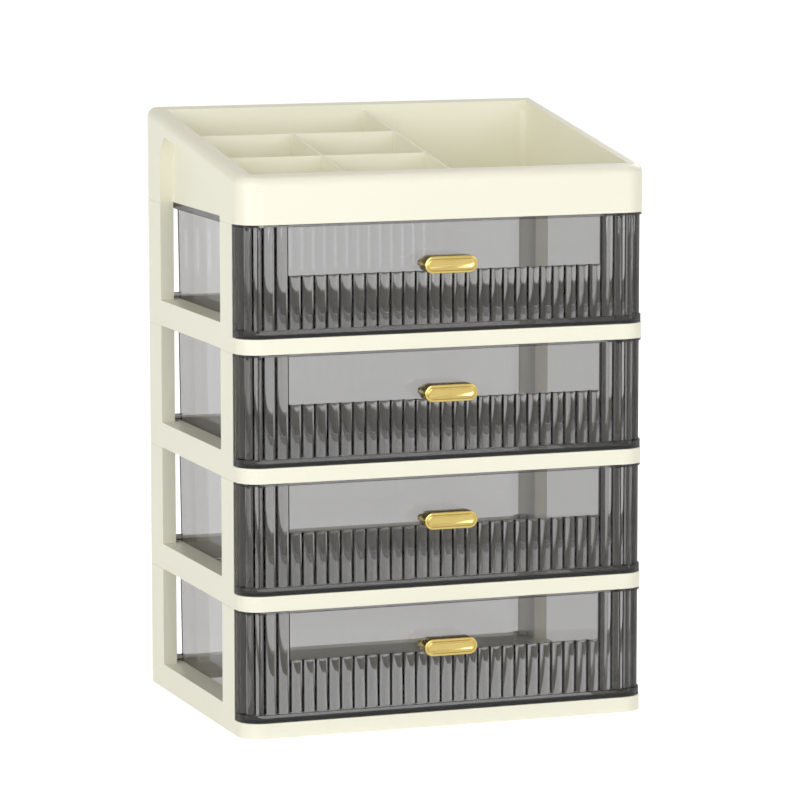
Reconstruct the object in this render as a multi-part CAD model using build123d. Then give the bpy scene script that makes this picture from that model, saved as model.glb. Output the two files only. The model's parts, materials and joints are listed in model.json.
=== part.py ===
from build123d import *
import math
import os

os.makedirs("parts", exist_ok=True)

# Desktop storage tower: stacked open frames, each with a pull-out drawer, under a sloped tray.
# Millimetres. Working Y runs from the front face of the rails (0) to the back; Z from the floor up.

# Cabinet outside
body_width = 270.0
body_depth = 200.0
tier_count = 4
tier_pitch = 80.0
front_corner_radius = 15.0
rear_edge_radius = 2.0

# Tray on top
tray_front_rise = 28.6
tray_back_rise = 60.0
tray_edge_radius = 6.0
side_rim_width = 10.0
front_rim_width = 12.0
back_rim_width = 10.0
tray_wall = 1.5
tray_floor = 2.2
basin_corner_radius = 4.5
rim_lip_depth = 5.5
divider_thickness = 1.4
divider_drop = 4.0
main_divider_x = 11.2
small_divider_x = -58.2
front_divider_y = 71.0
rear_divider_y = 131.2
side_recess_depth = 8.5
side_band_height = 10.8
recess_arch_radius = 20.0
recess_arch_height = 25.0

# Frames
post_thickness = 9.0
front_post_rear = 42.9
rear_post_depth = 28.4
side_rail_height = 16.4
front_rail_height = 9.7
front_rail_depth = 12.0
side_rail_width = 15.0
rear_rail_depth = 10.5
ring_corner_radius = 3.0
shell_wall = 2.0
seam_height = 0.5
seam_inset = 0.35
spigot_height = 5.0
spigot_gap = 0.2
stop_reach = 3.3
stop_length = 3.9
stop_height = 4.5

# Drawers
running_gap = 0.3
top_gap = 0.5
front_gap = 0.4
crest_inset = 1.4
flute_height = 1.8
inner_flute_depth = 1.8
inner_flute_clear = 0.5
flute_width = 8.28
corner_flutes = 3
plain_flutes_each_side = 2
panel_thickness = 3.0
window_sill = 48.0
lower_lip_inset = 0.5
lower_lip_height = 4.8
upper_lip_inset = 0.25
upper_lip_height = 1.2
end_strip_width = 3.4
end_strip_inset = 0.4
bin_side_gap = 0.8
bin_back_gap = 2.0
bin_draft = 0.6
bin_rear_draft = 1.0
bin_corner_radius = 6.0
bin_wall = 1.5
bin_floor = 1.6
bin_rim_overhang = 4.2
bin_rim_height = 3.8
bin_rim_below_tier = 0.9
wing_reach = 6.1
wing_length = 6.3
wing_height = 2.8

# Handles and their screws
handle_x = -2.9
handle_z = 53.2
grip_width = 34.8
grip_height = 10.7
grip_depth = 11.5
neck_width = 32.8
neck_height = 4.7
neck_depth = 5.7
face_ring_width = 1.1
face_groove_width = 0.8
face_groove_depth = 0.5
face_border_width = 1.0
face_panel_depth = 0.35
screw_spacing = 18.0
screw_radius = 1.4
screw_hole_gap = 0.1
screw_bite = 8.0
screw_tip_gap = 1.0
screw_head_radius = 2.6
screw_head_height = 1.7
screw_slot_width = 0.8
screw_slot_depth = 0.8

# Worked out from the sizes above
half_width = body_width / 2
frames_top = tier_count * tier_pitch
post_inner_x = half_width - post_thickness
wrap_depth = front_corner_radius + end_strip_width
post_front = wrap_depth + front_gap
rear_post_front = body_depth - rear_post_depth
rail_inner_x = half_width - side_rail_width
rear_rail_front = body_depth - rear_rail_depth
panel_inset = crest_inset + flute_height
panel_inner = panel_inset + panel_thickness
drawer_bottom = front_rail_height + running_gap
drawer_top = tier_pitch - top_gap
bin_half_width = rail_inner_x - bin_side_gap
bin_length = rear_rail_front - bin_back_gap
bin_inside = drawer_bottom + bin_floor
wing_bottom = side_rail_height + running_gap
rim_top = tier_pitch - bin_rim_below_tier
straight_front = body_width - 2 * front_corner_radius
flute_count = round(straight_front / flute_width)
flute_pitch = straight_front / flute_count
window_half_width = straight_front / 2 - plain_flutes_each_side * flute_pitch
handle_reach = neck_depth + grip_depth - panel_inset
slope_per_mm = (tray_back_rise - tray_front_rise) / body_depth
screw_places = (handle_x - screw_spacing / 2, handle_x + screw_spacing / 2)
to_origin = Pos(0, -(body_depth - handle_reach) / 2, 0)


def block(x_span, y_span, z_span):
    """Rectangular block between two values on each axis."""
    spans = (x_span, y_span, z_span)
    corner = [min(span) for span in spans]
    size = [max(span) - min(span) for span in spans]
    return Pos(*corner) * Box(*size, align=(Align.MIN, Align.MIN, Align.MIN))


def plan(half, front, back, front_radius, back_radius):
    """Outline seen from above, with rounded front and back corners."""
    sheet = Pos(0, (front + back) / 2) * Rectangle(2 * half, back - front)
    sheet = fillet(sheet.vertices().group_by(Axis.Y)[0], front_radius)
    return fillet(sheet.vertices().group_by(Axis.Y)[-1], back_radius)


def prism(sheet, low, high):
    """Outline raised from one height to another."""
    return Pos(0, 0, low) * extrude(sheet, high - low)


def both_sides(piece):
    """The piece and its mirror image across the middle."""
    return piece + mirror(piece, Plane.YZ)


def under_slope(drop, half):
    """Everything below the tray's sloped top, lowered by drop."""
    front_height = frames_top + tray_front_rise - drop
    back_height = frames_top + tray_back_rise - drop
    side = Polyline((0, 0), (body_depth, 0), (body_depth, back_height), (0, front_height), (0, 0))
    sheet = Plane.YZ.offset(-half) * make_face(side)
    return extrude(sheet, amount=2 * half, dir=(1, 0, 0))


def post_spans():
    """Front and back post, as pairs of Y."""
    return ((post_front, front_post_rear), (rear_post_front, body_depth))


def spigot(y_span, bottom):
    """Peg on top of a post that seats in the hollow foot of the next one."""
    inset = shell_wall + spigot_gap
    x_span = (post_inner_x + inset, half_width - inset)
    y_inner = (y_span[0] + inset, y_span[1] - inset)
    return block(x_span, y_inner, (bottom, bottom + spigot_height))


def post_core(y_span, bottom, top):
    """Hollow inside a post, open at its foot."""
    x_span = (post_inner_x + shell_wall, half_width - shell_wall)
    return block(x_span, (y_span[0] + shell_wall, y_span[1] - shell_wall), (bottom, top - shell_wall))


def ring():
    """Foot of a frame, open in the middle: low front rail, taller rails at the sides and the back."""
    outline = plan(half_width, 0, body_depth, front_corner_radius, rear_edge_radius)
    above = (front_rail_height, side_rail_height)
    body = prism(outline, 0, front_rail_height)
    body += prism(outline, *above) & block((-half_width, half_width), (post_front, body_depth), above)
    mouth = plan(rail_inner_x, front_rail_depth, rear_rail_front, ring_corner_radius, ring_corner_radius)
    body -= prism(mouth, 0, side_rail_height)
    hollow = (0, side_rail_height - shell_wall)
    side_hollow = block((rail_inner_x + shell_wall, half_width - shell_wall),
                        (front_post_rear + shell_wall, rear_post_front - shell_wall), hollow)
    rear_hollow = block((-rail_inner_x, rail_inner_x),
                        (rear_rail_front + shell_wall, body_depth - shell_wall), hollow)
    return body - both_sides(side_hollow) - rear_hollow


def tier_frame(level):
    """One open frame: rails, four hollow posts with pegs on top, and two drawer stops."""
    outline = plan(half_width, 0, body_depth, front_corner_radius, rear_edge_radius)
    seam_outline = plan(half_width - seam_inset, seam_inset, body_depth - seam_inset,
                        front_corner_radius, rear_edge_radius)
    seam_bottom = tier_pitch - seam_height
    body = ring()
    for y_span in post_spans():
        for low, high, sheet in ((0, seam_bottom, outline), (seam_bottom, tier_pitch, seam_outline)):
            slot = both_sides(block((post_inner_x, half_width), y_span, (low, high)))
            body += prism(sheet, low, high) & slot
        body += both_sides(spigot(y_span, tier_pitch))
        body -= both_sides(post_core(y_span, 0, tier_pitch))
    stop = block((post_inner_x - stop_reach, post_inner_x), (front_post_rear - stop_length, front_post_rear),
                 (side_rail_height, side_rail_height + stop_height))
    body += both_sides(stop)
    return Pos(0, 0, level * tier_pitch) * body


def tray_block():
    """Outside of the tray: sloped block with rounded rim and rounded back edges."""
    outline = Pos(0, body_depth / 2) * Rectangle(body_width, body_depth)
    outline = fillet(outline.vertices().group_by(Axis.Y)[0], front_corner_radius)
    body = prism(outline, frames_top, frames_top + tray_back_rise) & under_slope(0, body_width)
    top_face = body.faces().sort_by(Axis.Z)[-1]
    rim_edges = [edge for edge in top_face.edges() if edge.center().Y < body_depth - rear_edge_radius]
    body = fillet(rim_edges, tray_edge_radius)
    back_face = body.faces().sort_by(Axis.Y)[-1]
    back_edges = [edge for edge in back_face.edges() if edge.center().Z > frames_top + rear_edge_radius]
    return fillet(back_edges, rear_edge_radius)


def tray_recess():
    """Side opening under the sloped rim, arched at its back top corner."""
    front = front_post_rear
    back = rear_post_front
    front_top = frames_top + tray_front_rise + slope_per_mm * front - side_band_height
    back_top = frames_top + tray_front_rise + slope_per_mm * back - side_band_height
    sheet = make_face(Polyline((front, frames_top), (back, frames_top), (back, back_top),
                               (front, front_top), (front, frames_top)))
    arch_z = frames_top + recess_arch_height
    arch_y = back - recess_arch_radius
    arch = Pos(arch_y, arch_z) * Circle(recess_arch_radius)
    below_arch = Pos((front + back) / 2, (frames_top + arch_z) / 2) * Rectangle(back - front, arch_z - frames_top)
    ahead_of_arch = Pos((front + arch_y) / 2, frames_top + tray_back_rise / 2) * Rectangle(
        arch_y - front, tray_back_rise)
    sheet = sheet & (below_arch + ahead_of_arch + arch)
    cut = extrude(Plane.YZ.offset(half_width - side_recess_depth) * sheet,
                  amount=2 * side_recess_depth, dir=(1, 0, 0))
    return both_sides(cut)


def basin():
    """Inside of the tray: square-cornered at the rim, rounded corners below."""
    half = half_width - side_rim_width
    front = front_rim_width
    back = body_depth - back_rim_width
    floor_top = frames_top + tray_floor
    roof = frames_top + tray_back_rise
    pool = prism(plan(half, front, back, basin_corner_radius, basin_corner_radius), floor_top, roof)
    mouth = block((-half, half), (front, back), (floor_top, roof)) - under_slope(rim_lip_depth, body_width)
    return pool + mouth


def dividers():
    """Fixed walls of the tray, their tops in one plane below the rim."""
    half_wall = divider_thickness / 2
    left = -half_width + side_rim_width - tray_wall / 2
    front = front_rim_width - tray_wall / 2
    back = body_depth - back_rim_width + tray_wall / 2
    rise = (frames_top, frames_top + tray_back_rise)
    walls = block((main_divider_x - half_wall, main_divider_x + half_wall), (front, back), rise)
    walls += block((small_divider_x - half_wall, small_divider_x + half_wall), (front, rear_divider_y), rise)
    for y in (front_divider_y, rear_divider_y):
        walls += block((left, main_divider_x), (y - half_wall, y + half_wall), rise)
    return walls & under_slope(divider_drop, body_width)


def top_tray():
    """Sloped tray with fixed compartments, standing on its own four short posts."""
    side_wall_x = half_width - side_rim_width + tray_wall
    under_rim = tray_edge_radius + shell_wall
    body = tray_block() - tray_recess() - basin() + dividers()
    front_hollow = block((-side_wall_x, side_wall_x), (shell_wall, front_rim_width - tray_wall),
                         (frames_top, frames_top + tray_back_rise)) & under_slope(under_rim, body_width)
    back_hollow = block((-side_wall_x, side_wall_x),
                        (body_depth - back_rim_width + tray_wall, body_depth - shell_wall),
                        (frames_top, frames_top + tray_back_rise)) & under_slope(under_rim, body_width)
    body -= front_hollow + back_hollow
    for y_span in post_spans():
        core = post_core(y_span, frames_top, frames_top + tray_back_rise)
        body -= both_sides(core & under_slope(under_rim + shell_wall, body_width))
    return body


def flute_band(groove, crest, inner):
    """Section seen from above, from a run of arcs round the front to a smooth line inside it."""
    corner_x = half_width - front_corner_radius
    groove_radius = front_corner_radius - groove
    step = 90 / corner_flutes

    def on_corner(radius, degrees):
        turn = math.radians(degrees)
        return (-corner_x - radius * math.sin(turn), front_corner_radius - radius * math.cos(turn))

    arcs = []
    for flute in range(corner_flutes):
        turn = 90 - flute * step
        arcs.append(ThreePointArc(on_corner(groove_radius, turn),
                                  on_corner(front_corner_radius - crest, turn - step / 2),
                                  on_corner(groove_radius, turn - step)))
    right_side = [mirror(arc, Plane.YZ) for arc in arcs]
    for flute in range(flute_count):
        x = -corner_x + flute * flute_pitch
        arcs.append(ThreePointArc((x, groove), (x + flute_pitch / 2, crest), (x + flute_pitch, groove)))
    left_end = (-half_width + groove, front_corner_radius)
    left_inner = (-half_width + inner, front_corner_radius)
    inner_arc = ThreePointArc(left_inner, on_corner(front_corner_radius - inner, 45), (-corner_x, inner))
    inner_line = Line((-corner_x, inner), (corner_x, inner))
    left_line = Line(left_end, left_inner)
    inside = [left_line, inner_arc, inner_line, mirror(inner_arc, Plane.YZ), mirror(left_line, Plane.YZ)]
    return make_face(arcs + right_side + inside)


def inner_flutes():
    """What is taken off the back of the panel, between its lips, so that it is fluted inside too."""
    section = flute_band(panel_inner - inner_flute_depth, panel_inner, panel_inner + inner_flute_clear)
    cut = prism(section, drawer_bottom + lower_lip_height, drawer_top - upper_lip_height)
    return cut - block((-window_half_width, window_half_width), (0, body_depth), (window_sill, drawer_top))


def window_cut():
    """What is taken off the flutes to leave the smooth window, with a rounded end on each flute."""
    end_z = window_sill - flute_height
    high = drawer_top
    top_arc = ThreePointArc(
        (panel_inset, window_sill),
        (panel_inset - flute_height * math.sin(math.pi / 4), end_z + flute_height * math.cos(math.pi / 4)),
        (crest_inset, end_z))
    rest = Polyline((crest_inset, end_z), (-crest_inset, end_z), (-crest_inset, high), (panel_inset, high),
                    (panel_inset, window_sill))
    sheet = Plane.YZ.offset(-window_half_width) * make_face([top_arc] + rest.edges())
    return extrude(sheet, amount=2 * window_half_width, dir=(1, 0, 0))


def lip(inset, low, high):
    """Smooth band round the drawer front, from its outside to the inside of the panel."""
    radius = front_corner_radius - inset
    inner_radius = front_corner_radius - panel_inner
    outer = plan(half_width - inset, inset, body_depth, radius, radius)
    inner = plan(half_width - panel_inner, panel_inner, body_depth, inner_radius, inner_radius)
    return prism(outer - inner, low, high) & block((-half_width, half_width), (0, wrap_depth), (low, high))


def tapered_bin(inset, front, low, high):
    """Block behind the drawer front, shrunk by inset at its sides and back, that widens upwards."""
    half = bin_half_width - inset
    back = bin_length - inset
    radius = bin_corner_radius - inset / 2
    bottom = plan(half, front, back, radius, radius)
    top = plan(half + bin_draft, front, back + bin_rear_draft, radius, radius)
    return loft([Pos(0, 0, low) * bottom, Pos(0, 0, high) * top])


def drawer(level):
    """Drawer moulded in one: fluted wrap-round front with plain ends, bin, rim and stop wings."""
    all_x = (-half_width, half_width)
    body = prism(flute_band(panel_inset, crest_inset, panel_inner), drawer_bottom, drawer_top) - window_cut()
    strip = block((half_width - panel_inner, half_width - end_strip_inset),
                  (front_corner_radius, wrap_depth), (drawer_bottom, drawer_top))
    body += both_sides(strip)
    body += lip(lower_lip_inset, drawer_bottom, drawer_bottom + lower_lip_height)
    body += lip(upper_lip_inset, drawer_top - upper_lip_height, drawer_top)
    skin = panel_thickness / 2
    wide = prism(plan(half_width - panel_inner + skin, panel_inner - skin, body_depth,
                      front_corner_radius - panel_inner + skin, rear_edge_radius), drawer_bottom, rim_top)
    body += wide & block(all_x, (0, wrap_depth), (drawer_bottom, rim_top))
    body += tapered_bin(0, panel_inner - skin, drawer_bottom, rim_top)
    rim = prism(plan(bin_half_width + bin_draft + bin_rim_overhang, wrap_depth - bin_wall,
                     bin_length + bin_rear_draft + bin_rim_overhang, rear_edge_radius, bin_corner_radius),
                rim_top - bin_rim_height, rim_top)
    body += rim
    wing = block((0, bin_half_width + wing_reach), (bin_length - wing_length, bin_length),
                 (wing_bottom, wing_bottom + wing_height))
    body += both_sides(wing)
    wide_hollow = prism(plan(half_width - panel_inner, panel_inner, body_depth,
                             front_corner_radius - panel_inner, rear_edge_radius), bin_inside, drawer_top)
    body -= wide_hollow & block(all_x, (0, wrap_depth - bin_wall), (bin_inside, drawer_top))
    body -= tapered_bin(bin_wall, panel_inner, bin_inside, drawer_top)
    body -= inner_flutes()
    for x in screw_places:
        body -= pin(x, handle_z, 0, panel_inner + bin_wall, screw_radius + screw_hole_gap)
    return Pos(0, 0, level * tier_pitch) * body


def pin(x, z, front, back, radius):
    """Round bar along Y between two depths."""
    return Pos(x, front, z) * Rot(-90, 0, 0) * Cylinder(
        radius, back - front, align=(Align.CENTER, Align.CENTER, Align.MIN))


def bar(width, height, front, back):
    """Bar with fully rounded ends, lying across the drawer front."""
    sheet = Plane.XZ * SlotOverall(width, height)
    return Pos(handle_x, back, handle_z) * extrude(sheet, amount=back - front, dir=(0, -1, 0))


def handle(level):
    """T-shaped pull: thin neck on the window, deep grip with a grooved and framed face."""
    neck_back = panel_inset
    grip_back = neck_back - neck_depth
    face = grip_back - grip_depth
    body = bar(grip_width, grip_height, face, grip_back)
    body = fillet(body.edges().group_by(Axis.Y)[0], face_ring_width / 3)
    groove_outer = 2 * face_ring_width
    groove_inner = groove_outer + 2 * face_groove_width
    groove = bar(grip_width - groove_outer, grip_height - groove_outer, face, face + face_groove_depth)
    groove -= bar(grip_width - groove_inner, grip_height - groove_inner, face, face + face_groove_depth)
    panel_edge = groove_inner + 2 * face_border_width
    body -= groove
    body -= bar(grip_width - panel_edge, grip_height - panel_edge, face, face + face_panel_depth)
    body += bar(neck_width, neck_height, grip_back, neck_back)
    for x in screw_places:
        body -= pin(x, handle_z, neck_back - screw_bite - screw_tip_gap, neck_back, screw_radius)
    return Pos(0, 0, level * tier_pitch) * body


def handle_screw(level, x):
    """Slotted pan-head screw, driven from inside the drawer into the handle."""
    head_end = panel_inner + screw_head_height
    half_slot = screw_slot_width / 2
    shank = pin(x, handle_z, panel_inset - screw_bite, panel_inner, screw_radius)
    head = pin(x, handle_z, panel_inner, head_end, screw_head_radius)
    head = fillet(head.edges().group_by(Axis.Y)[-1], screw_head_height / 2)
    slot = block((x - screw_head_radius, x + screw_head_radius), (head_end - screw_slot_depth, head_end),
                 (handle_z - half_slot, handle_z + half_slot))
    return Pos(0, 0, level * tier_pitch) * (shank + head - slot)


def save(name, piece):
    """Write one node in the frame whose origin is under the middle of the whole object."""
    export_step(to_origin * piece, f"parts/{name}.step")


save("top_tray", top_tray())
for tier in range(tier_count):
    save(f"tier_frame_{tier + 1}", tier_frame(tier))
    save(f"drawer_{tier + 1}", drawer(tier))
    save(f"handle_{tier + 1}", handle(tier))
    for side, place in zip(("left", "right"), screw_places):
        save(f"handle_screw_{tier + 1}_{side}", handle_screw(tier, place))
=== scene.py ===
import bpy
import math
import numpy as np
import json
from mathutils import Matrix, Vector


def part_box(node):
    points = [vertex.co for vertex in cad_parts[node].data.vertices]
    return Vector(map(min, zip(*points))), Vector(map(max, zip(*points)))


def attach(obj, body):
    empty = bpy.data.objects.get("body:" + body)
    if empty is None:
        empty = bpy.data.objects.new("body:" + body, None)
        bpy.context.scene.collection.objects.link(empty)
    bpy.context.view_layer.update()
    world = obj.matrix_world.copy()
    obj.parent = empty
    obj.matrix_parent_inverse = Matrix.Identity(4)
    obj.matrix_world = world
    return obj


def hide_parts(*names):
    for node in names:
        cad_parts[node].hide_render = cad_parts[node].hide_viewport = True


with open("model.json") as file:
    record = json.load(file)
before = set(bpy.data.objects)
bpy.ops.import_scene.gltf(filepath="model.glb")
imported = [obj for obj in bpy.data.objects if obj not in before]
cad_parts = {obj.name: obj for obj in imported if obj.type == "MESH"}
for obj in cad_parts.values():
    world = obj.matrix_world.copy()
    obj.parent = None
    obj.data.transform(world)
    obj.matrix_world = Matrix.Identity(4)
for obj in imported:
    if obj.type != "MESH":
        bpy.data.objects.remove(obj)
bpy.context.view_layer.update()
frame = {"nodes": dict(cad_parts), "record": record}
millimetre = 0.001
print("stage: frame loaded,", len(frame["nodes"]), "nodes")


def newMaterial(name):
    material = bpy.data.materials.new(name)
    material.use_nodes = True
    tree = material.node_tree
    tree.nodes.clear()
    return material, tree


def addNode(tree, kind, settings=None, inputs=None):
    node = tree.nodes.new(kind)
    for key, value in (settings or {}).items():
        setattr(node, key, value)
    for key, value in (inputs or {}).items():
        node.inputs[key].default_value = value
    return node


creamLook = {
    "paler": (0.900, 0.886, 0.738, 1.0),
    "warmer": (0.888, 0.870, 0.712, 1.0),
    "driftPerMetre": 9.0,
    "driftDetail": 2.0,
    "grainPerMetre": 900.0,
    "grainDetail": 3.0,
    "grainBump": 0.02,
    "grainDepth": 0.0004,
    "roughness": 0.30,
    "ior": 1.46,
}


def creamMoulding():
    material, tree = newMaterial("creamMoulding")
    link = tree.links.new
    place = addNode(tree, "ShaderNodeTexCoord")
    drift = addNode(tree, "ShaderNodeTexNoise", inputs={
        "Scale": creamLook["driftPerMetre"], "Detail": creamLook["driftDetail"]})
    tint = addNode(tree, "ShaderNodeMix", {"data_type": "RGBA"})
    tint.inputs["A"].default_value = creamLook["paler"]
    tint.inputs["B"].default_value = creamLook["warmer"]
    grain = addNode(tree, "ShaderNodeTexNoise", inputs={
        "Scale": creamLook["grainPerMetre"], "Detail": creamLook["grainDetail"]})
    bump = addNode(tree, "ShaderNodeBump", inputs={
        "Strength": creamLook["grainBump"], "Distance": creamLook["grainDepth"]})
    shell = addNode(tree, "ShaderNodeBsdfPrincipled",
                    inputs={"Roughness": creamLook["roughness"], "IOR": creamLook["ior"]})
    out = addNode(tree, "ShaderNodeOutputMaterial")
    link(place.outputs["Object"], drift.inputs["Vector"])
    link(place.outputs["Object"], grain.inputs["Vector"])
    link(drift.outputs["Fac"], tint.inputs["Factor"])
    link(tint.outputs["Result"], shell.inputs["Base Color"])
    link(grain.outputs["Fac"], bump.inputs["Height"])
    link(bump.outputs["Normal"], shell.inputs["Normal"])
    link(shell.outputs["BSDF"], out.inputs["Surface"])
    return material


# Clear moulding that bends and mirrors light at its faces and dims it by its thickness.
smokeLook = {
    "ior": 1.50,
    "sheenRoughness": 0.02,
    "mostMirrored": 0.10,
    "absorbPerMetre": 180.0,
    "dyeColor": (0.020, 0.005, 0.0, 1.0),
    "lampTint": (0.76, 0.757, 0.755, 1.0),
}


def smokeMoulding():
    material, tree = newMaterial("smokeMoulding")
    link = tree.links.new
    bend = addNode(tree, "ShaderNodeBsdfRefraction", {"distribution": "BECKMANN"}, {
        "Color": (1.0, 1.0, 1.0, 1.0), "Roughness": 0.0, "IOR": smokeLook["ior"]})
    shine = addNode(tree, "ShaderNodeBsdfGlossy", inputs={
        "Color": (1.0, 1.0, 1.0, 1.0), "Roughness": smokeLook["sheenRoughness"]})
    mirrored = addNode(tree, "ShaderNodeFresnel", inputs={"IOR": smokeLook["ior"]})
    capped = addNode(tree, "ShaderNodeMath", {"operation": "MINIMUM"}, {1: smokeLook["mostMirrored"]})
    surface = addNode(tree, "ShaderNodeMixShader")
    passing = addNode(tree, "ShaderNodeBsdfTransparent", inputs={"Color": smokeLook["lampTint"]})
    ray = addNode(tree, "ShaderNodeLightPath")
    either = addNode(tree, "ShaderNodeMixShader")
    dye = addNode(tree, "ShaderNodeVolumeAbsorption", inputs={
        "Color": smokeLook["dyeColor"], "Density": smokeLook["absorbPerMetre"]})
    out = addNode(tree, "ShaderNodeOutputMaterial")
    link(mirrored.outputs["Fac"], capped.inputs[0])
    link(capped.outputs["Value"], surface.inputs["Fac"])
    link(bend.outputs["BSDF"], surface.inputs[1])
    link(shine.outputs["BSDF"], surface.inputs[2])
    link(ray.outputs["Is Shadow Ray"], either.inputs["Fac"])
    link(surface.outputs["Shader"], either.inputs[1])
    link(passing.outputs["BSDF"], either.inputs[2])
    link(either.outputs["Shader"], out.inputs["Surface"])
    link(dye.outputs["Volume"], out.inputs["Volume"])
    return material


goldLook = {
    "bright": (0.74, 0.575, 0.210, 1.0),
    "deep": (0.64, 0.490, 0.165, 1.0),
    "cloudPerMetre": 140.0,
    "cloudDetail": 3.0,
    "roughness": 0.16,
}


def goldPlate():
    material, tree = newMaterial("goldPlate")
    link = tree.links.new
    place = addNode(tree, "ShaderNodeTexCoord")
    cloud = addNode(tree, "ShaderNodeTexNoise", inputs={
        "Scale": goldLook["cloudPerMetre"], "Detail": goldLook["cloudDetail"]})
    tint = addNode(tree, "ShaderNodeMix", {"data_type": "RGBA"})
    tint.inputs["A"].default_value = goldLook["bright"]
    tint.inputs["B"].default_value = goldLook["deep"]
    plate = addNode(tree, "ShaderNodeBsdfPrincipled",
                    inputs={"Metallic": 1.0, "Roughness": goldLook["roughness"]})
    out = addNode(tree, "ShaderNodeOutputMaterial")
    link(place.outputs["Object"], cloud.inputs["Vector"])
    link(cloud.outputs["Fac"], tint.inputs["Factor"])
    link(tint.outputs["Result"], plate.inputs["Base Color"])
    link(plate.outputs["BSDF"], out.inputs["Surface"])
    return material


zincLook = {
    "color": (0.62, 0.62, 0.60, 1.0),
    "roughness": 0.35,
    "scratchPerMetre": 900.0,
    "scratchDetail": 4.0,
    "scratchBump": 0.1,
    "scratchDepth": 0.0002,
}


def zincSteel():
    material, tree = newMaterial("zincSteel")
    link = tree.links.new
    place = addNode(tree, "ShaderNodeTexCoord")
    scratch = addNode(tree, "ShaderNodeTexNoise", inputs={
        "Scale": zincLook["scratchPerMetre"], "Detail": zincLook["scratchDetail"]})
    bump = addNode(tree, "ShaderNodeBump", inputs={
        "Strength": zincLook["scratchBump"], "Distance": zincLook["scratchDepth"]})
    steel = addNode(tree, "ShaderNodeBsdfPrincipled", inputs={
        "Base Color": zincLook["color"], "Metallic": 1.0, "Roughness": zincLook["roughness"]})
    out = addNode(tree, "ShaderNodeOutputMaterial")
    link(place.outputs["Object"], scratch.inputs["Vector"])
    link(scratch.outputs["Fac"], bump.inputs["Height"])
    link(bump.outputs["Normal"], steel.inputs["Normal"])
    link(steel.outputs["BSDF"], out.inputs["Surface"])
    return material


finishes = {
    "cream_plastic": creamMoulding(),
    "smoke_plastic": smokeMoulding(),
    "gold_handle": goldPlate(),
    "screw_steel": zincSteel(),
}
slotOfNode = {part["node"]: part["material_slot"] for part in frame["record"]["subparts"]}
for name, node in frame["nodes"].items():
    node.data.materials.clear()
    node.data.materials.append(finishes[slotOfNode[name]])
print("stage: materials on the CAD nodes")

softEdge = {
    "mergeWithin": 0.00001,
    "flatWithinDegrees": 0.5,
    "width": 0.0004,
    "segments": 2,
    "sharperThanDegrees": 32.0,
}


def softenEdges(node):
    mesh = node.data
    if "custom_normal" in mesh.attributes:
        mesh.attributes.remove(mesh.attributes["custom_normal"])
    mesh.polygons.foreach_set("use_smooth", np.ones(len(mesh.polygons), dtype=bool))
    weld = node.modifiers.new("mergeTriangles", "WELD")
    weld.merge_threshold = softEdge["mergeWithin"]
    flat = node.modifiers.new("joinFlatFaces", "DECIMATE")
    flat.decimate_type = "DISSOLVE"
    flat.angle_limit = math.radians(softEdge["flatWithinDegrees"])
    bevel = node.modifiers.new("edgeRadius", "BEVEL")
    bevel.width = softEdge["width"]
    bevel.segments = softEdge["segments"]
    bevel.limit_method = "ANGLE"
    bevel.angle_limit = math.radians(softEdge["sharperThanDegrees"])
    bevel.use_clamp_overlap = True
    even = node.modifiers.new("evenShading", "WEIGHTED_NORMAL")
    even.keep_sharp = False


for name, node in frame["nodes"].items():
    if slotOfNode[name] != "gold_handle":
        softenEdges(node)
print("stage: edges softened")

# Millimetres, from the front face of the rails; each pull is a stack of rounded rectangles, back to front.
handleShape = {
    "cornerSteps": 12,
    "neck": {"width": 32.8, "height": 4.7, "radius": 2.3, "from": 3.2, "to": -2.5},
    "grip": {"width": 34.8, "height": 10.7, "radius": 5.30,
             "backEdge": 0.8, "frontEdge": 0.5, "face": -14.0},
    "sharpAtDegrees": 38.0,
}
# Rings on the face, from the groove inwards: width, height, corner radius and how deep below the face.
faceRings = [
    (32.0, 8.0, 3.95, 0.00),
    (31.8, 7.8, 3.85, 0.30),
    (31.2, 7.2, 3.55, 0.45),
    (30.8, 6.8, 3.35, 0.15),
    (30.4, 6.4, 3.15, 0.00),
    (29.3, 5.3, 2.25, 0.00),
    (28.9, 4.9, 1.75, 0.12),
    (28.5, 4.5, 1.25, 0.40),
    (28.2, 4.2, 1.05, 0.45),
]


def roundedRing(width, height, radius, y):
    # Corner c turns from 90c to 90c + 90 degrees about (+-(width / 2 - radius), +-(height / 2 - radius)).
    steps = handleShape["cornerSteps"]
    ring = []
    for corner, (signX, signZ) in enumerate(((1, 1), (-1, 1), (-1, -1), (1, -1))):
        turn = np.radians(90.0 * corner + 90.0 * np.arange(steps + 1) / steps)
        x = signX * (width / 2 - radius) + radius * np.cos(turn)
        z = signZ * (height / 2 - radius) + radius * np.sin(turn)
        ring.append(np.stack([x, np.full(steps + 1, y), z], axis=1))
    return np.concatenate(ring)  # one row of points, the same count in every ring


def handleRings():
    neck = handleShape["neck"]
    grip = handleShape["grip"]
    rings = [roundedRing(neck["width"], neck["height"], neck["radius"], neck["from"]),
             roundedRing(neck["width"], neck["height"], neck["radius"], neck["to"])]
    # A rounded edge of radius e, at angle a, lies e(1 - sin a) inside the outline and
    # e(1 - cos a) from the face.
    rounded = [(a, grip["backEdge"], neck["to"], -1) for a in (0, 30, 60, 90)]
    rounded += [(a, grip["frontEdge"], grip["face"], 1) for a in (90, 60, 30, 0)]
    for degrees, edge, face, toward in rounded:
        inward = edge * (1 - math.sin(math.radians(degrees)))
        y = face + toward * edge * (1 - math.cos(math.radians(degrees)))
        rings.append(roundedRing(
            grip["width"] - 2 * inward, grip["height"] - 2 * inward, grip["radius"] - inward, y))
    rings += [roundedRing(width, height, radius, grip["face"] + deep)
              for width, height, radius, deep in faceRings]
    return np.stack(rings)


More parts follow.
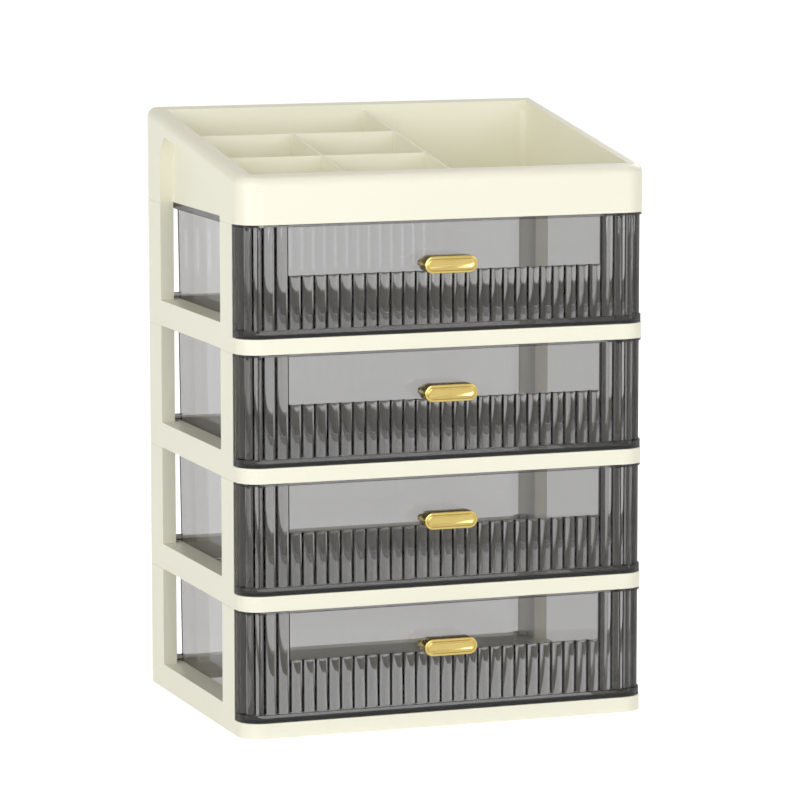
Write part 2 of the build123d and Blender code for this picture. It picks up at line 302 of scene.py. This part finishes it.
def goldPull(level, rings):
    count = rings.shape[1]
    # The pull takes its place from the CAD handle: its middle across and in height, and its front face.
    low, high = (np.array(corner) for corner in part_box("handle_%d" % level))
    place = (low + high) / 2
    place[1] = low[1] - handleShape["grip"]["face"] * millimetre
    points = rings.reshape(-1, 3) * millimetre + place
    # Point i of ring r is number r * count + i. Each quad joins points i and i + 1 of two rings.
    number = np.arange(len(rings) * count).reshape(len(rings), count)
    following = np.roll(number, -1, axis=1)
    quads = np.stack([following[:-1], number[:-1], number[1:], following[1:]], axis=2).reshape(-1, 4)
    faces = [number[0].tolist(), number[-1][::-1].tolist()] + quads.tolist()
    name = "goldPull%d" % level
    mesh = bpy.data.meshes.new(name)
    mesh.from_pydata(points.tolist(), [], faces)
    mesh.polygons.foreach_set("use_smooth", np.ones(len(mesh.polygons), dtype=bool))
    mesh.set_sharp_from_angle(angle=math.radians(handleShape["sharpAtDegrees"]))
    mesh.materials.append(finishes["gold_handle"])
    pull = bpy.data.objects.new(name, mesh)
    bpy.context.scene.collection.objects.link(pull)
    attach(pull, "drawer_%d" % level)
    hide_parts("handle_%d" % level)


pullRings = handleRings()
for level in range(1, 5):
    goldPull(level, pullRings)
print("stage: handles")

# The paper glows for the camera alone, so that it stays white at a plain level of light on the object.
# Seen in gloss or through clear walls, the room is white below the horizon and darker overhead.
stageLook = {
    "floorHalf": 14.0,
    "paper": (0.80, 0.80, 0.80, 1.0),
    "paperGlow": 0.77,
    "paperBounce": 0.25,
    "ambient": 0.36,
    "ambientColor": (1.0, 0.95, 0.80, 1.0),
    "ceiling": 0.05,
    "mirroredCeiling": 0.60,
    "whiteUpToDegrees": 1.5,
    "ceilingFromDegrees": 6.0,
}


def throughOrMirrored(tree):  # what the camera sees, and what clear or shiny pieces show of the room
    ray = addNode(tree, "ShaderNodeLightPath")
    either = addNode(tree, "ShaderNodeMath", {"operation": "MAXIMUM"})
    tree.links.new(ray.outputs["Is Glossy Ray"], either.inputs[0])
    tree.links.new(ray.outputs["Is Transmission Ray"], either.inputs[1])
    return ray.outputs["Is Camera Ray"], either.outputs["Value"]


def paleFloor():
    half = stageLook["floorHalf"]
    mesh = bpy.data.meshes.new("paleFloor")
    corners = [(-half, -half, 0), (half, -half, 0), (half, half, 0), (-half, half, 0)]
    mesh.from_pydata(corners, [], [(0, 1, 2, 3)])
    floor = bpy.data.objects.new("paleFloor", mesh)
    bpy.context.scene.collection.objects.link(floor)
    material, tree = newMaterial("floorPaper")
    link = tree.links.new
    matt = addNode(tree, "ShaderNodeBsdfDiffuse", inputs={"Color": stageLook["paper"]})
    glow = addNode(tree, "ShaderNodeEmission", inputs={"Strength": stageLook["paperGlow"]})
    bounce = addNode(tree, "ShaderNodeEmission", inputs={"Strength": stageLook["paperBounce"]})
    white = addNode(tree, "ShaderNodeEmission", inputs={"Strength": 1.0})
    lit = addNode(tree, "ShaderNodeAddShader")
    unseen = addNode(tree, "ShaderNodeAddShader")
    direct = addNode(tree, "ShaderNodeMixShader")
    seen = addNode(tree, "ShaderNodeMixShader")
    out = addNode(tree, "ShaderNodeOutputMaterial")
    cameraRay, otherRay = throughOrMirrored(tree)
    link(matt.outputs["BSDF"], lit.inputs[0])
    link(glow.outputs["Emission"], lit.inputs[1])
    link(cameraRay, direct.inputs["Fac"])
    link(matt.outputs["BSDF"], unseen.inputs[0])
    link(bounce.outputs["Emission"], unseen.inputs[1])
    link(unseen.outputs["Shader"], direct.inputs[1])
    link(lit.outputs["Shader"], direct.inputs[2])
    link(otherRay, seen.inputs["Fac"])
    link(direct.outputs["Shader"], seen.inputs[1])
    link(white.outputs["Emission"], seen.inputs[2])
    link(seen.outputs["Shader"], out.inputs["Surface"])
    mesh.materials.append(material)


def softWorld():
    world = bpy.data.worlds.new("studioAir")
    bpy.context.scene.world = world
    world.use_nodes = True
    tree = world.node_tree
    tree.nodes.clear()
    link = tree.links.new
    ambient = addNode(tree, "ShaderNodeBackground", inputs={"Strength": stageLook["ambient"]})
    white = addNode(tree, "ShaderNodeBackground", inputs={"Strength": 1.0})
    room = addNode(tree, "ShaderNodeBackground")
    for shader in (white, room):
        shader.inputs["Color"].default_value = (1.0, 1.0, 1.0, 1.0)
    ambient.inputs["Color"].default_value = stageLook["ambientColor"]
    toward = addNode(tree, "ShaderNodeTexCoord")
    parts = addNode(tree, "ShaderNodeSeparateXYZ")
    darken = addNode(tree, "ShaderNodeMapRange", inputs={
        "From Min": math.sin(math.radians(stageLook["whiteUpToDegrees"])),
        "From Max": math.sin(math.radians(stageLook["ceilingFromDegrees"])), "To Min": 1.0})
    ray = addNode(tree, "ShaderNodeLightPath")
    ceiling = addNode(tree, "ShaderNodeMath", {"operation": "MULTIPLY_ADD"}, {
        1: stageLook["ceiling"] - stageLook["mirroredCeiling"], 2: stageLook["mirroredCeiling"]})
    direct = addNode(tree, "ShaderNodeMixShader")
    seen = addNode(tree, "ShaderNodeMixShader")
    out = addNode(tree, "ShaderNodeOutputWorld")
    cameraRay, otherRay = throughOrMirrored(tree)
    link(toward.outputs["Generated"], parts.inputs["Vector"])
    link(parts.outputs["Z"], darken.inputs["Value"])
    link(ray.outputs["Is Transmission Ray"], ceiling.inputs[0])
    link(ceiling.outputs["Value"], darken.inputs["To Max"])
    link(darken.outputs["Result"], room.inputs["Strength"])
    link(cameraRay, direct.inputs["Fac"])
    link(ambient.outputs["Background"], direct.inputs[1])
    link(white.outputs["Background"], direct.inputs[2])
    link(otherRay, seen.inputs["Fac"])
    link(direct.outputs["Shader"], seen.inputs[1])
    link(room.outputs["Background"], seen.inputs[2])
    link(seen.outputs["Shader"], out.inputs["Surface"])


lamps = {
    "front": {"at": (0.15, -2.6, 0.5), "size": 0.9, "watts": 11.5},
    "frontRight": {"at": (1.6, -1.9, 1.0), "size": 1.2, "watts": 8.0},
    "frontLeft": {"at": (-1.9, -1.4, 0.8), "size": 1.4, "watts": 22.0},
    "above": {"at": (0.0, -0.2, 2.2), "size": 1.8, "watts": 6.0},
    "rearRight": {"at": (1.7, 1.7, 1.6), "size": 1.4, "watts": 15.0},
}
daylight = (0.985, 1.0, 1.07)  # a little cooler than the air's own light

lampTarget = (0.0, 0.0, 0.19)


def pointAt(thing, target):
    direction = np.array(target) - np.array(thing.location)
    flatLength = math.hypot(direction[0], direction[1])
    thing.rotation_euler = (math.atan2(flatLength, -direction[2]), 0.0,
                            math.atan2(-direction[0], direction[1]))


def studioLamps():
    for name, look in lamps.items():
        light = bpy.data.lights.new(name, "AREA")
        light.shape = "SQUARE"
        light.size = look["size"]
        light.energy = look["watts"]
        light.color = daylight
        lamp = bpy.data.objects.new(name, light)
        lamp.location = look["at"]
        pointAt(lamp, lampTarget)
        bpy.context.scene.collection.objects.link(lamp)


cameraLook = {
    "at": (-0.9390, -2.6309, 0.5779),
    "turnRight": 19.675,
    "lookDown": 7.807,
    "roll": 0.055,
    "focalPixels": 4383.86,
    "imagePixels": 800,
    "sensor": 36.0,
    "farthest": 60.0,
}


def photoCamera():
    data = bpy.data.cameras.new("photoCamera")
    data.sensor_width = cameraLook["sensor"]
    data.lens = cameraLook["focalPixels"] * cameraLook["sensor"] / cameraLook["imagePixels"]
    data.clip_end = cameraLook["farthest"]
    camera = bpy.data.objects.new("photoCamera", data)
    camera.location = cameraLook["at"]
    camera.rotation_euler = (math.radians(90.0 - cameraLook["lookDown"]), math.radians(cameraLook["roll"]),
                             math.radians(-cameraLook["turnRight"]))
    bpy.context.scene.collection.objects.link(camera)
    bpy.context.scene.camera = camera


paleFloor()
softWorld()
studioLamps()
photoCamera()
bpy.context.scene.view_settings.view_transform = "Standard"
bouncesThroughClearWalls = {"max_bounces": 24, "transmission_bounces": 20, "transparent_max_bounces": 24}
for name, most in bouncesThroughClearWalls.items():
    setattr(bpy.context.scene.cycles, name, most)
print("stage: floor, light and camera")
